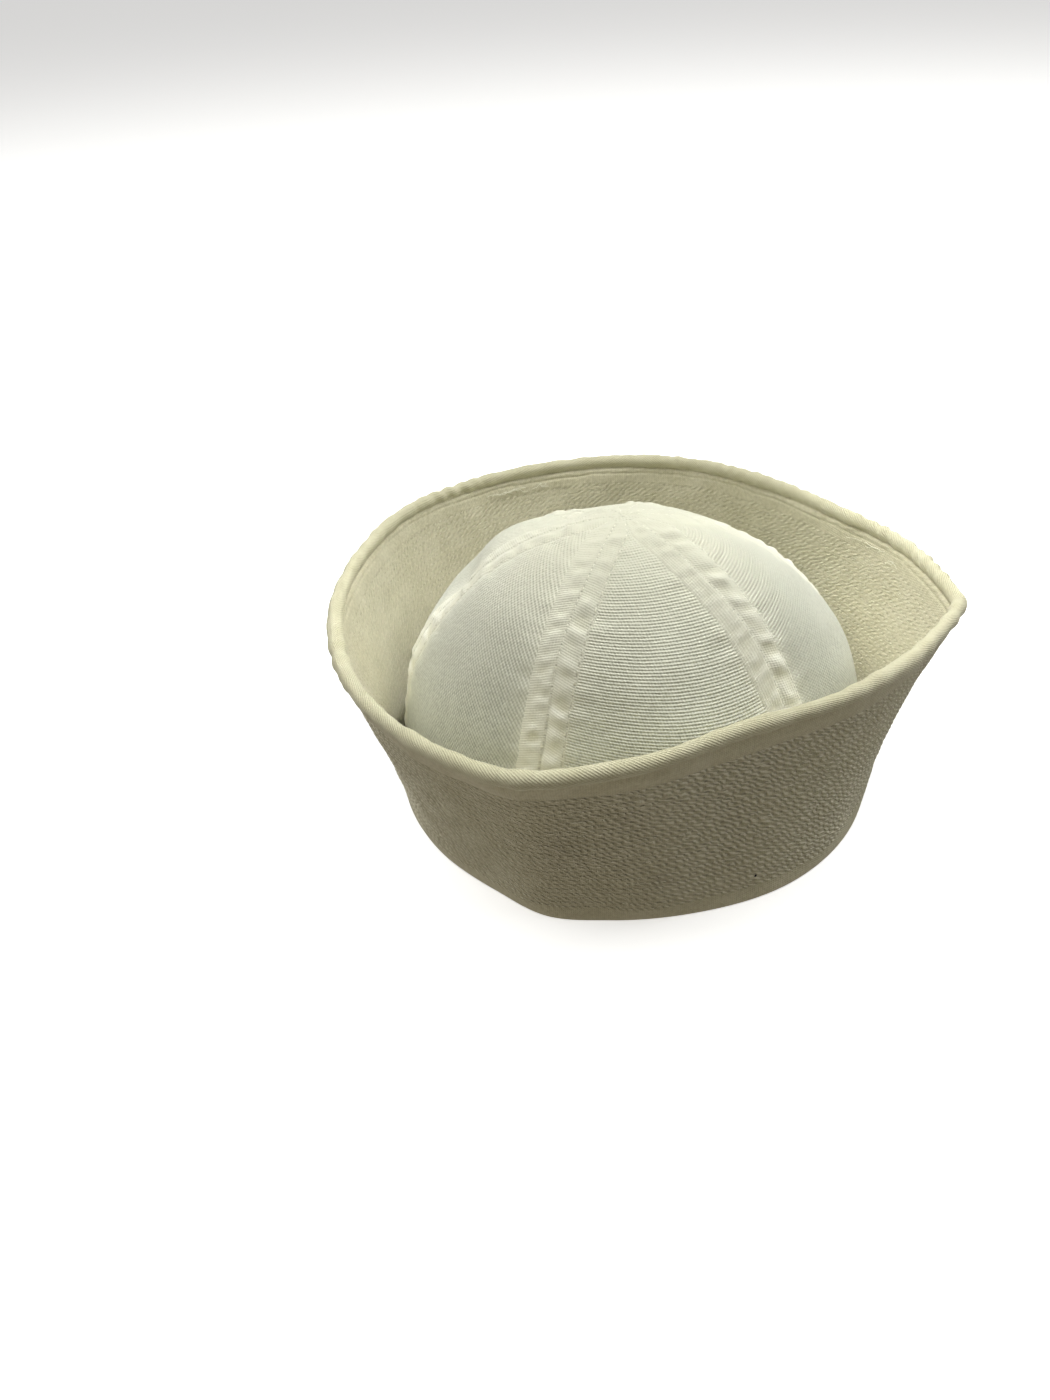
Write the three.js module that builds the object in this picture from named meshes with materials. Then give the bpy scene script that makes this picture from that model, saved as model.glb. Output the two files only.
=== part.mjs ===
import * as THREE from 'three';

// A six-gore cotton sailor cap with a turned-up, row-stitched brim.
// The back of the cap is at +Y and the wearer's right at -X.
// Azimuths run counter-clockwise from +X, seen from above, in degrees.

// Driving dimensions, in millimetres
const BASE_HALF_WIDTH = 91.5;
const BASE_HALF_LENGTH = 93.5;
const BRIM_HEIGHT = 76;
const BRIM_THICKNESS = 2.8;
const FOLD_RADIUS = 1.2;
const FOOT_WIDTH = 8;
const FOOT_HEIGHT = 2.4;
const BEAD_RADIUS = 2.75;
const CROWN_HEIGHT = 112;
const CROWN_BASE_RADIUS = 86.6;
const CROWN_THICKNESS = 1.3;
const CROWN_CLEARANCE = 1.8;
const SEAM_WIDTH = 15;
const SEAM_THICKNESS = 0.9;
const GAP = 0.3;

// The strip leans more at its upper edge than at its foot, by this many degrees each way
const BRIM_CURL = 5;

// The brim is pinched to a point here: extra lean that fades quickly to both sides
const PINCH = { azimuth: 197.4, lean: 3.6, spread: 6.2 };

// How far the brim leans out from upright, in degrees, round the cap
const BRIM_LEAN = [
  { azimuth: 0, lean: 15.9 },
  { azimuth: 30, lean: 12.7 },
  { azimuth: 60, lean: 13.2 },
  { azimuth: 85, lean: 12.9 },
  { azimuth: 110, lean: 6.3 },
  { azimuth: 135, lean: -1.7 },
  { azimuth: 160, lean: 2.4 },
  { azimuth: 180, lean: 9.4 },
  { azimuth: 197, lean: 16.4 },
  { azimuth: 215, lean: 14.6 },
  { azimuth: 235, lean: 7.4 },
  { azimuth: 260, lean: 10.0 },
  { azimuth: 285, lean: 20.6 },
  { azimuth: 310, lean: 25.2 },
  { azimuth: 335, lean: 25.4 },
];

// Where the foot of the brim is pushed out past the base oval, at the back seam and on the right
const BASE_BULGE = [
  { azimuth: 0, out: 0 },
  { azimuth: 60, out: 0 },
  { azimuth: 80, out: 0.6 },
  { azimuth: 93, out: 3.6 },
  { azimuth: 106, out: 1.2 },
  { azimuth: 125, out: 0 },
  { azimuth: 148, out: 1.8 },
  { azimuth: 172, out: 2.0 },
  { azimuth: 200, out: 0 },
  { azimuth: 230, out: 0 },
];

// The crown's profile round the cap. A power of 2 is a round arch, a lower one is straighter and more
// pointed. The belly is how far, in millimetres, the cloth swells out past its sewn base.
const CROWN_SHAPE = [
  { azimuth: 0, power: 1.9, belly: 5.3 },
  { azimuth: 45, power: 2.1, belly: 5.2 },
  { azimuth: 90, power: 2.1, belly: 3.8 },
  { azimuth: 135, power: 1.8, belly: 4.7 },
  { azimuth: 180, power: 2.2, belly: 2.8 },
  { azimuth: 225, power: 1.8, belly: 5.1 },
  { azimuth: 270, power: 1.6, belly: 3.9 },
  { azimuth: 315, power: 1.6, belly: 3.6 },
];
const BELLY_RISE = 18;
const APEX_SHIFT = { x: -2.3, y: 13.6 };

// Humps and dents of the soft crown: where they are, how wide, and how far they stand out
const CROWN_DENTS = [
  { x: 45, y: 10, z: 95, spread: 14, raised: 2.4 },
  { x: 56, y: 29, z: 85, spread: 12, raised: -3.4 },
  { x: 71, y: 40, z: 58, spread: 12, raised: 1.6 },
  { x: 21, y: 8, z: 107, spread: 11, raised: -3.0 },
  { x: -75, y: -16, z: 60, spread: 14, raised: 1.0 },
  { x: 64, y: 60, z: 40, spread: 22, raised: -1.2 },
  { x: -30, y: 62, z: 62, spread: 26, raised: 0.8 },
];
const CROWN_MIDDLE = { x: 0, y: 5, z: 40 };

const SEAM_AZIMUTHS = [28, 89, 155, 214, 272, 330];

// Two seams meet at the apex with this half angle between their edges, in degrees
const SEAM_SPREAD = 27;
// A seam's outer edge stands this share of its full thickness off the gore
const SEAM_EDGE_SHARE = 0.35;

const BRIM_LOOK = { color: 0xd6cfb6, roughness: 0.9 };
const BINDING_LOOK = { color: 0xded6b4, roughness: 0.85 };
const GORE_LOOK = { color: 0xdfe2d8, roughness: 0.8 };
const SEAM_LOOK = { color: 0xe6e5ce, roughness: 0.8 };

// How finely each piece is divided
const BRIM_RINGS = 108;
const RING_CROWDING = 0.6;
const BRIM_LEVELS = 6;
const BEAD_SIDES = 8;
const GORE_COLUMNS = 8;
const CROWN_ROWS = 12;
const TOP_CLIMB = 0.97;
const SEAM_BEVEL = 1.2;

const BASE_MEAN_RADIUS = (BASE_HALF_WIDTH + BASE_HALF_LENGTH) / 2;
const FULL_TURN = 360;

// Smooth closed curve through the rows of a table with an azimuth column
function around(table, column, azimuth) {
  const count = table.length;
  const turn = THREE.MathUtils.euclideanModulo(azimuth - table[0].azimuth, FULL_TURN) + table[0].azimuth;
  const row = (index) => {
    const wraps = Math.floor(index / count);
    const entry = table[index - wraps * count];
    return { at: entry.azimuth + wraps * FULL_TURN, value: entry[column] };
  };
  let index = 0;
  while (index < count - 1 && row(index + 1).at <= turn) {
    index += 1;
  }
  const before = row(index - 1);
  const start = row(index);
  const end = row(index + 1);
  const after = row(index + 2);
  const span = end.at - start.at;
  const u = (turn - start.at) / span;
  const startSlope = ((end.value - before.value) / (end.at - before.at)) * span;
  const endSlope = ((after.value - start.value) / (after.at - start.at)) * span;
  const rise = end.value - start.value;
  const bend = 3 * rise - 2 * startSlope - endSlope;
  const twist = startSlope + endSlope - 2 * rise;
  return start.value + u * (startSlope + u * (bend + u * twist));
}

function radians(degrees) {
  return THREE.MathUtils.degToRad(degrees);
}

// Lean of the brim at one azimuth, with the pinch added
function brimLean(azimuth) {
  const offset = THREE.MathUtils.euclideanModulo(azimuth - PINCH.azimuth + 180, FULL_TURN) - 180;
  const pinch = PINCH.lean * Math.exp(-Math.hypot(offset, 1) / PINCH.spread);
  return around(BRIM_LEAN, 'lean', azimuth) + pinch;
}

// Point of the base oval and its outward direction
function ovalAt(azimuth) {
  const angle = radians(azimuth);
  const point = new THREE.Vector2(
    BASE_HALF_WIDTH * Math.cos(angle),
    BASE_HALF_LENGTH * Math.sin(angle),
  );
  const normal = new THREE.Vector2(
    Math.cos(angle) / BASE_HALF_WIDTH,
    Math.sin(angle) / BASE_HALF_LENGTH,
  ).normalize();
  return { point, normal };
}

// The strip's outer face at a distance up the cloth: how far out and how high it has come, and its tilt.
// The tilt grows evenly along the cloth, so both come from the integral of its sine and cosine.
function stripAt(azimuth, distance) {
  const lean = brimLean(azimuth);
  const first = radians(lean - BRIM_CURL);
  const turnRate = radians(2 * BRIM_CURL) / BRIM_HEIGHT;
  const tilt = first + turnRate * distance;
  const out = (Math.cos(first) - Math.cos(tilt)) / turnRate;
  const up = (Math.sin(tilt) - Math.sin(first)) / turnRate;
  return { out, up, tilt };
}

// Point at a distance out from the brim's foot and up from the floor
function placed(azimuth, out, up) {
  const { point, normal } = ovalAt(azimuth);
  const reach = out + around(BASE_BULGE, 'out', azimuth);
  return new THREE.Vector3(point.x + reach * normal.x, point.y + reach * normal.y, up);
}

// Closed outline of the brim's wall at one azimuth, up the outside and down the inside to the foot
function brimSection(azimuth) {
  const top = BRIM_HEIGHT - BEAD_RADIUS - GAP;
  const outside = [[-FOLD_RADIUS, 0]];
  const inside = [];
  for (let level = 0; level <= BRIM_LEVELS; level += 1) {
    const distance = FOLD_RADIUS + ((top - FOLD_RADIUS) * level) / BRIM_LEVELS;
    const strip = stripAt(azimuth, distance);
    const shift = (BRIM_THICKNESS / 2) * (distance / BRIM_HEIGHT);
    const outward = [Math.cos(strip.tilt), -Math.sin(strip.tilt)];
    outside.push([strip.out + shift * outward[0], strip.up + shift * outward[1]]);
    if (level > 0) {
      const back = shift - BRIM_THICKNESS;
      inside.unshift([strip.out + back * outward[0], strip.up + back * outward[1]]);
    }
  }
  const footReach = -FOOT_WIDTH - around(BASE_BULGE, 'out', azimuth);
  const foot = [
    [-BRIM_THICKNESS, FOOT_HEIGHT],
    [footReach, FOOT_HEIGHT],
    [footReach, 0],
  ];
  return [...outside, ...inside, ...foot].map(([out, up]) => placed(azimuth, out, up));
}

// Round edge along the top of the strip
function beadSection(azimuth) {
  const centre = stripAt(azimuth, BRIM_HEIGHT);
  const points = [];
  for (let side = 0; side < BEAD_SIDES; side += 1) {
    const angle = ((side + 0.5) / BEAD_SIDES) * 2 * Math.PI;
    const out = centre.out + BEAD_RADIUS * Math.cos(angle);
    const up = centre.up + BEAD_RADIUS * Math.sin(angle);
    points.push(placed(azimuth, out, up));
  }
  return points;
}

// Smaller of two lengths, with a soft corner where they meet
function softMinimum(a, b) {
  const softness = 0.8;
  return -softness * Math.log(Math.exp(-a / softness) + Math.exp(-b / softness));
}

// How far the crown's outer face may reach at this height before it would touch the brim
function crownLimit(azimuth, height) {
  const strip = stripAt(azimuth, Math.min(height, BRIM_HEIGHT));
  return BASE_MEAN_RADIUS + strip.out - BRIM_THICKNESS - CROWN_CLEARANCE;
}

// Moves a point of the crown away from its middle by the humps near it, and towards it by the dents
function dented(face) {
  const out = face.clone().sub(CROWN_MIDDLE).normalize();
  const shift = CROWN_DENTS.reduce((total, { x, y, z, spread, raised }) => {
    const distance = face.distanceTo(new THREE.Vector3(x, y, z));
    return total + raised * Math.exp(-((distance / spread) ** 2));
  }, 0);
  return face.clone().addScaledVector(out, shift);
}

// The crown's outer face, from its sewn base at climb 0 to the apex at climb 1
function crownFace(azimuth, climb) {
  const base = FOOT_HEIGHT + GAP;
  const power = around(CROWN_SHAPE, 'power', azimuth);
  const belly = around(CROWN_SHAPE, 'belly', azimuth);
  const angle = (climb * Math.PI) / 2;
  const reach = Math.max(Math.cos(angle), 0) ** (2 / power);
  const rise = Math.sin(angle) ** (2 / power);
  const height = base + (CROWN_HEIGHT - base) * rise;
  const swell = belly * (1 - Math.exp((-rise * CROWN_HEIGHT) / BELLY_RISE));
  const radius = softMinimum((CROWN_BASE_RADIUS + swell) * reach, crownLimit(azimuth, height));
  const turn = radians(azimuth);
  const face = new THREE.Vector3(
    radius * (BASE_HALF_WIDTH / BASE_MEAN_RADIUS) * Math.cos(turn) + APEX_SHIFT.x * rise * rise,
    radius * (BASE_HALF_LENGTH / BASE_MEAN_RADIUS) * Math.sin(turn) + APEX_SHIFT.y * rise * rise,
    height,
  );
  return dented(face);
}

// Point off the crown's outer face, measured square to the cloth
function crownOffset(azimuth, climb, offset) {
  const step = 0.002;
  const low = Math.max(climb - step, 0);
  const high = Math.min(climb + step, 1 - step);
  const along = crownFace(azimuth, high).sub(crownFace(azimuth, low));
  const across = crownFace(azimuth + 1, low).sub(crownFace(azimuth - 1, low));
  const normal = across.cross(along).normalize();
  return crownFace(azimuth, climb).addScaledVector(normal, offset);
}

// Azimuth that lies a given distance round the crown from a seam
function besideSeam(seam, climb, distance) {
  const centre = crownFace(seam, 1);
  const face = crownFace(seam, climb);
  const radius = Math.hypot(face.x - centre.x, face.y - centre.y);
  return seam + THREE.MathUtils.radToDeg(distance / radius);
}

function meshGeometry(points, triangles) {
  const geometry = new THREE.BufferGeometry();
  const positions = points.flatMap((point) => [point.x, point.y, point.z]);
  geometry.setAttribute('position', new THREE.Float32BufferAttribute(positions, 3));
  geometry.setIndex(triangles);
  geometry.computeVertexNormals();
  return geometry;
}

// Solid made of equal closed sections that run once round the cap
function ringSolid(sections) {
  const size = sections[0].length;
  const triangles = [];
  sections.forEach((section, ring) => {
    const next = (ring + 1) % sections.length;
    for (let side = 0; side < size; side += 1) {
      const over = (side + 1) % size;
      const corner = ring * size + side;
      const ahead = next * size + side;
      const aheadOver = next * size + over;
      const cornerOver = ring * size + over;
      triangles.push(corner, ahead, aheadOver, corner, aheadOver, cornerOver);
    }
  });
  return meshGeometry(sections.flat(), triangles);
}

// Cloth wall between an outer and an inner face, each a list of rows from the base up.
// The rows have equal lengths, and a last row of one point closes the wall to a tip.
function wallSolid(outer, inner) {
  const points = [...outer.flat(), ...inner.flat()];
  const width = outer[0].length;
  const half = outer.flat().length;
  const last = outer.length - 1;
  const pointed = outer[last].length === 1;
  const at = (row, column) => row * width + (pointed && row === last ? 0 : column);
  const triangles = [];
  const face = (a, b, c) => {
    if (a !== b && b !== c && c !== a) {
      triangles.push(a, b, c);
    }
  };
  for (let row = 0; row < last; row += 1) {
    for (let column = 0; column < width - 1; column += 1) {
      const corners = [at(row, column), at(row, column + 1), at(row + 1, column + 1), at(row + 1, column)];
      const [a, b, c, d] = corners;
      face(a, b, c);
      face(a, c, d);
      face(half + a, half + c, half + b);
      face(half + a, half + d, half + c);
    }
    const edges = [[at(row + 1, 0), at(row, 0)], [at(row, width - 1), at(row + 1, width - 1)]];
    for (const [a, b] of edges) {
      face(a, half + a, half + b);
      face(a, half + b, b);
    }
  }
  for (let column = 0; column < width - 1; column += 1) {
    const a = at(0, column);
    const b = at(0, column + 1);
    face(a, half + a, half + b);
    face(a, half + b, b);
    if (!pointed) {
      const c = at(last, column + 1);
      const d = at(last, column);
      face(c, half + c, half + d);
      face(c, half + d, d);
    }
  }
  return meshGeometry(points, triangles);
}

// Rings crowd together near the pinch, where the brim bends most
function ringAzimuths() {
  return Array.from({ length: BRIM_RINGS }, (_, ring) => {
    const share = ring / BRIM_RINGS;
    const crowd = (RING_CROWDING * Math.sin(2 * Math.PI * share)) / (2 * Math.PI);
    return PINCH.azimuth + FULL_TURN * (share - crowd);
  });
}

// Gores and seams share these rows, so that their faces stay parallel
function crownClimbs() {
  const climbs = Array.from({ length: CROWN_ROWS }, (_, row) => row / CROWN_ROWS);
  return [...climbs, TOP_CLIMB];
}

// One gore: a pointed panel between two seams
function goreGeometry(seam, nextSeam) {
  const outer = [];
  const inner = [];
  for (const climb of crownClimbs()) {
    const start = besideSeam(seam, climb, GAP / 2);
    const end = besideSeam(nextSeam, climb, -GAP / 2);
    const outerRow = [];
    const innerRow = [];
    for (let column = 0; column <= GORE_COLUMNS; column += 1) {
      const azimuth = start + ((end - start) * column) / GORE_COLUMNS;
      outerRow.push(crownOffset(azimuth, climb, 0));
      innerRow.push(crownOffset(azimuth, climb, -CROWN_THICKNESS));
    }
    outer.push(outerRow);
    inner.push(innerRow);
  }
  const middle = radians((seam + nextSeam) / 2);
  const apex = crownFace(0, 1);
  const tip = apex.clone().add(new THREE.Vector3(GAP * Math.cos(middle), GAP * Math.sin(middle), 0));
  outer.push([tip]);
  inner.push([tip.clone().setZ(tip.z - CROWN_THICKNESS)]);
  return wallSolid(outer, inner);
}

// One felled seam: a low strip with bevelled edges that lies over the join and narrows to the apex
function seamGeometry(seam) {
  const outer = [];
  const inner = [];
  const apex = crownFace(seam, 1);
  for (const climb of crownClimbs().slice(1)) {
    const face = crownFace(seam, climb);
    const radius = Math.hypot(face.x - apex.x, face.y - apex.y);
    const room = 2 * Math.tan(radians(SEAM_SPREAD)) * radius - GAP;
    const half = Math.min(SEAM_WIDTH, room) / 2;
    const bevel = Math.min(SEAM_BEVEL, half / 2);
    const columns = [
      { across: -half, top: SEAM_EDGE_SHARE },
      { across: -half + bevel, top: 1 },
      { across: 0, top: 1 },
      { across: half - bevel, top: 1 },
      { across: half, top: SEAM_EDGE_SHARE },
    ];
    outer.push(columns.map(({ across, top }) => (
      crownOffset(besideSeam(seam, climb, across), climb, GAP + SEAM_THICKNESS * top)
    )));
    inner.push(columns.map(({ across }) => crownOffset(besideSeam(seam, climb, across), climb, GAP)));
  }
  return wallSolid(outer, inner);
}

function clothMesh(name, geometry, look) {
  const material = new THREE.MeshStandardMaterial({ ...look, metalness: 0 });
  const mesh = new THREE.Mesh(geometry, material);
  mesh.name = name;
  return mesh;
}

const cap = new THREE.Group();
cap.add(clothMesh('brim', ringSolid(ringAzimuths().map(brimSection)), BRIM_LOOK));
cap.add(clothMesh('rim_binding', ringSolid(ringAzimuths().map(beadSection)), BINDING_LOOK));
SEAM_AZIMUTHS.forEach((seam, index) => {
  const wraps = index === SEAM_AZIMUTHS.length - 1;
  const nextSeam = wraps ? SEAM_AZIMUTHS[0] + FULL_TURN : SEAM_AZIMUTHS[index + 1];
  cap.add(clothMesh(`crown_gore_${index + 1}`, goreGeometry(seam, nextSeam), GORE_LOOK));
  cap.add(clothMesh(`crown_seam_band_${index + 1}`, seamGeometry(seam), SEAM_LOOK));
});

// The cap stands on the plane Z = 0 with its origin below the middle of its box
const box = new THREE.Box3().setFromObject(cap);
const middle = box.getCenter(new THREE.Vector3());
cap.position.set(-middle.x, -middle.y, -box.min.z);

const model = new THREE.Group();
model.add(cap);

export default model;
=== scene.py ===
import math

import bpy
import numpy as np
from mathutils import Matrix, Vector


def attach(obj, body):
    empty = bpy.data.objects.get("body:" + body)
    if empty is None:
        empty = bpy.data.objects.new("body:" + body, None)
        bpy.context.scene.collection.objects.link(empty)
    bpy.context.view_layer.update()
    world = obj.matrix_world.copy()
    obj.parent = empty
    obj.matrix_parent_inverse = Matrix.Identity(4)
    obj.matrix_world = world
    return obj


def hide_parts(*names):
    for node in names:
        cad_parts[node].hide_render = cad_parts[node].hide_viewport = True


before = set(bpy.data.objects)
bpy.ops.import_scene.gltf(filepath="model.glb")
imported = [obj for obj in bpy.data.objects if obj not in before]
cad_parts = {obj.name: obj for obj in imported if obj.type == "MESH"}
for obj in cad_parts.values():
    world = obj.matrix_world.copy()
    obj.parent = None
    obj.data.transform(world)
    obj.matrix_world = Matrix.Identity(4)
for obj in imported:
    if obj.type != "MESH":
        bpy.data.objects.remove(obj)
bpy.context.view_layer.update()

# The cap's back is at +Y and the wearer's right at -X. Azimuths run counter-clockwise from +X, in degrees.
# Shapes are worked out in millimetres round the middle of the base, then placed in the frame in metres.
MM = 0.001
BASE_CENTRE = (-1.974, 1.843)

# The same driving sizes as the CAD
BASE_HALF_WIDTH = 91.5
BASE_HALF_LENGTH = 93.5
BASE_MEAN_RADIUS = (BASE_HALF_WIDTH + BASE_HALF_LENGTH) / 2
BRIM_HEIGHT = 76.0
BRIM_THICKNESS = 2.8
BRIM_CURL = 5.0
FOLD_RADIUS = 1.2
FOOT_WIDTH = 8.0
FOOT_HEIGHT = 2.4
BEAD_RADIUS = 2.75
CROWN_HEIGHT = 112.0
CROWN_BASE_RADIUS = 86.6
CROWN_THICKNESS = 1.3
CROWN_CLEARANCE = 1.8
BELLY_RISE = 18.0
APEX_SHIFT = (-2.3, 13.6)
# What the humps, dents and waves of the crown move its face away from
CROWN_MIDDLE = (0.0, 5.0, 40.0)
# How gently the crown gives way to the brim round it
CROWN_SOFTNESS = 0.8
GAP = 0.3
SEAM_AZIMUTHS = (28, 89, 155, 214, 272, 330)
SEAM_HALF_WIDTH = 7.5
PINCH_AZIMUTH = 197.4
PINCH_LEAN = 3.6
PINCH_SPREAD = 6.2

# azimuth, lean of the brim in degrees
BRIM_LEAN = (
    (0, 15.9), (30, 12.7), (60, 13.2), (85, 12.9), (110, 6.3), (135, -1.7), (160, 2.4), (180, 9.4),
    (197, 16.4), (215, 14.6), (235, 7.4), (260, 10.0), (285, 20.6), (310, 25.2), (335, 25.4),
)
# azimuth, how far the foot of the brim is pushed out
BASE_BULGE = (
    (0, 0), (60, 0), (80, 0.6), (93, 3.6), (106, 1.2), (125, 0), (148, 1.8), (172, 2.0), (200, 0), (230, 0),
)
# azimuth, profile power of the crown
CROWN_POWER = ((0, 1.9), (45, 2.1), (90, 2.1), (135, 1.8), (180, 2.2), (225, 1.8), (270, 1.6), (315, 1.6))
# azimuth, swell of the crown past its sewn base
CROWN_BELLY = ((0, 5.3), (45, 5.2), (90, 3.8), (135, 4.7), (180, 2.8), (225, 5.1), (270, 3.9), (315, 3.6))

# Humps and dents of the crown: place, radius and how far it stands out
CROWN_DENTS = (
    ((45, 10, 95), 14, 2.4), ((56, 29, 85), 12, -3.4), ((71, 40, 58), 12, 1.6), ((21, 8, 107), 11, -3.0),
    ((-75, -16, 60), 14, 1.0), ((64, 60, 40), 22, -1.2), ((-30, 62, 62), 26, 0.8),
)

# Half-way up the strip, where lengths round it are measured, and the azimuths they are measured at
BRIM_MIDDLE = 40.0
DENSE_AZIMUTHS = np.linspace(0, 360, 1441)

# Stitching of the brim: parallel rows of short stitches from just over the foot to under the rolled edge
ROW_FIRST = 7.0
ROW_PITCH = 2.45
ROW_COUNT = 25
ROW_LAST = ROW_FIRST + ROW_PITCH * (ROW_COUNT - 1)
STITCH_PITCH = 2.75
PUCKER_SLANT = 1.1
QUILT_DEPTH = 0.10
# Shift of the stitches from row to row, in stitches: a steady step, and a swing that turns with the row
STAGGER_STEP, STAGGER_SWING, STAGGER_TURN = 0.37, 0.25, 1.9
# Slow drifts along a row: waves round the brim, size in stitches and turn from row to row
ROW_DRIFTS = ((7, 0.3, 0.9), (19, 0.18, 1.3))

# Heights up the brim of the hem's edge on the outer face, and of the tuck and the ditch on the inner one
HEM_EDGE = 67.5
TUCK = 70.7
DITCH = 73.2
# How far below its top edge the brim's cloth ends, hidden in the rolled edge
UNDER_BEAD = 1.2


def around(table, azimuth):
    """Smooth closed curve through a table's rows, at these azimuths"""
    at, value = np.array(table, float).T
    at = np.concatenate([at[-2:] - 360, at, at[:3] + 360])
    value = np.concatenate([value[-2:], value, value[:3]])
    turn = np.mod(np.asarray(azimuth, float) - table[0][0], 360) + table[0][0]
    row = np.searchsorted(at, turn, side="right") - 1
    span = at[row + 1] - at[row]
    u = (turn - at[row]) / span
    start_slope = (value[row + 1] - value[row - 1]) / (at[row + 1] - at[row - 1]) * span
    end_slope = (value[row + 2] - value[row]) / (at[row + 2] - at[row]) * span
    rise = value[row + 1] - value[row]
    bend = 3 * rise - 2 * start_slope - end_slope
    twist = start_slope + end_slope - 2 * rise
    return value[row] + u * (start_slope + u * (bend + u * twist))


def strip_at(azimuth, distance):
    """How far out and up the brim's outer face has come at a distance up the cloth, and its tilt"""
    offset = np.mod(azimuth - PINCH_AZIMUTH + 180, 360) - 180
    lean = around(BRIM_LEAN, azimuth) + PINCH_LEAN * np.exp(-np.hypot(offset, 1) / PINCH_SPREAD)
    first = np.radians(lean - BRIM_CURL)
    turn_rate = math.radians(2 * BRIM_CURL) / BRIM_HEIGHT
    tilt = first + turn_rate * distance
    out = (np.cos(first) - np.cos(tilt)) / turn_rate
    up = (np.sin(tilt) - np.sin(first)) / turn_rate
    return out, up, tilt


def placed(azimuth, out, up):
    """Points at a distance out from the brim's foot and up from the floor"""
    angle = np.radians(azimuth)
    normal = np.stack([np.cos(angle) / BASE_HALF_WIDTH, np.sin(angle) / BASE_HALF_LENGTH], -1)
    normal /= np.linalg.norm(normal, axis=-1, keepdims=True)
    reach = out + around(BASE_BULGE, azimuth)
    x = BASE_HALF_WIDTH * np.cos(angle) + reach * normal[..., 0]
    y = BASE_HALF_LENGTH * np.sin(angle) + reach * normal[..., 1]
    return np.stack([x, y, np.broadcast_to(up, x.shape)], -1)


def strip_point(azimuth, distance, offset):
    """Points off the strip's outer face, measured square to the cloth; the face drifts out to stay centred"""
    out, up, tilt = strip_at(azimuth, distance)
    shift = BRIM_THICKNESS / 2 * distance / BRIM_HEIGHT + offset
    return placed(azimuth, out + shift * np.cos(tilt), up - shift * np.sin(tilt))


def crown_face(azimuth, climb):
    """The crown's outer face, from its sewn base at climb 0 to the apex at climb 1"""
    base = FOOT_HEIGHT + GAP
    power = around(CROWN_POWER, azimuth)
    belly = around(CROWN_BELLY, azimuth)
    angle = np.clip(climb, 0, 1) * math.pi / 2
    reach = np.maximum(np.cos(angle), 0) ** (2 / power)
    rise = np.sin(angle) ** (2 / power)
    height = base + (CROWN_HEIGHT - base) * rise
    swell = belly * (1 - np.exp(-rise * CROWN_HEIGHT / BELLY_RISE))
    out = strip_at(azimuth, np.minimum(height, BRIM_HEIGHT))[0]
    limit = BASE_MEAN_RADIUS + out - BRIM_THICKNESS - CROWN_CLEARANCE
    free = (CROWN_BASE_RADIUS + swell) * reach
    radius = -CROWN_SOFTNESS * np.logaddexp(-free / CROWN_SOFTNESS, -limit / CROWN_SOFTNESS)
    turn = np.radians(azimuth)
    x = radius * BASE_HALF_WIDTH / BASE_MEAN_RADIUS * np.cos(turn) + APEX_SHIFT[0] * rise ** 2
    y = radius * BASE_HALF_LENGTH / BASE_MEAN_RADIUS * np.sin(turn) + APEX_SHIFT[1] * rise ** 2
    face = np.stack([x, y, height], -1)
    out = unit(face - np.array(CROWN_MIDDLE))
    for place, spread, raised in CROWN_DENTS:
        near = np.exp(-((face - np.array(place, float)) ** 2).sum(-1) / spread ** 2)
        face = face + out * (raised * near)[..., None]
    clear_of_base = np.clip((face[..., 2] - base) / 15, 0, 1)
    waves = 0.4 * soft_noise(face, wavelength=50, seed=61) * clear_of_base
    return face + out * waves[..., None]


def brim_lengths(azimuth):
    """Distance round the brim, half-way up it, scaled to a whole number of stitches; also their number"""
    along = lengths_along(strip_point(DENSE_AZIMUTHS, BRIM_MIDDLE, 0))
    count = round(along[-1] / STITCH_PITCH)
    along = along * count * STITCH_PITCH / along[-1]
    return np.interp(azimuth, DENSE_AZIMUTHS, along), count


def row_stagger(row):
    """How far a row's stitches stand off those of the first row, in stitches"""
    return STAGGER_STEP * row + STAGGER_SWING * np.sin(STAGGER_TURN * row)


def row_drift(length, row, total):
    """How far a row's stitches have drifted at a length round the brim, in stitches"""
    return sum(
        size * np.sin(length * 2 * waves * math.pi / total + turn * row) for waves, size, turn in ROW_DRIFTS
    )


def unit(vectors):
    return vectors / np.linalg.norm(vectors, axis=-1, keepdims=True)


def lengths_along(path):
    """Distance along a path at each of its points"""
    return np.concatenate([[0], np.cumsum(np.linalg.norm(np.diff(path, axis=0), axis=-1))])


def grid_normals(points):
    """Unit normals of a grid of points whose rows climb and whose columns run counter-clockwise"""
    across = np.gradient(points, axis=1)
    along = np.gradient(points, axis=0)
    normal = np.cross(across, along)
    size = np.linalg.norm(normal, axis=-1, keepdims=True)
    return np.where(size > 1e-9, normal / np.maximum(size, 1e-9), (0.0, 0.0, 1.0))


def soft_noise(points, wavelength, seed, waves=14):
    """Smooth seeded noise in space, with a spread of about 1"""
    rng = np.random.default_rng(seed)
    total = np.zeros(points.shape[:-1])
    for _ in range(waves):
        direction = rng.normal(size=3)
        direction /= np.linalg.norm(direction)
        length = wavelength * rng.uniform(0.7, 1.5)
        total += np.sin(points @ direction * (math.tau / length) + rng.uniform(0, math.tau))
    return total * math.sqrt(2 / waves)


def in_frame(points):
    """Points in millimetres round the middle of the base, as points of the frame in metres"""
    return (points.reshape(-1, 3) + np.array([*BASE_CENTRE, 0.0])) * MM


def in_scene(name, data):
    """Object of this mesh, light or camera, linked to the scene"""
    thing = bpy.data.objects.new(name, data)
    bpy.context.scene.collection.objects.link(thing)
    return thing


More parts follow.
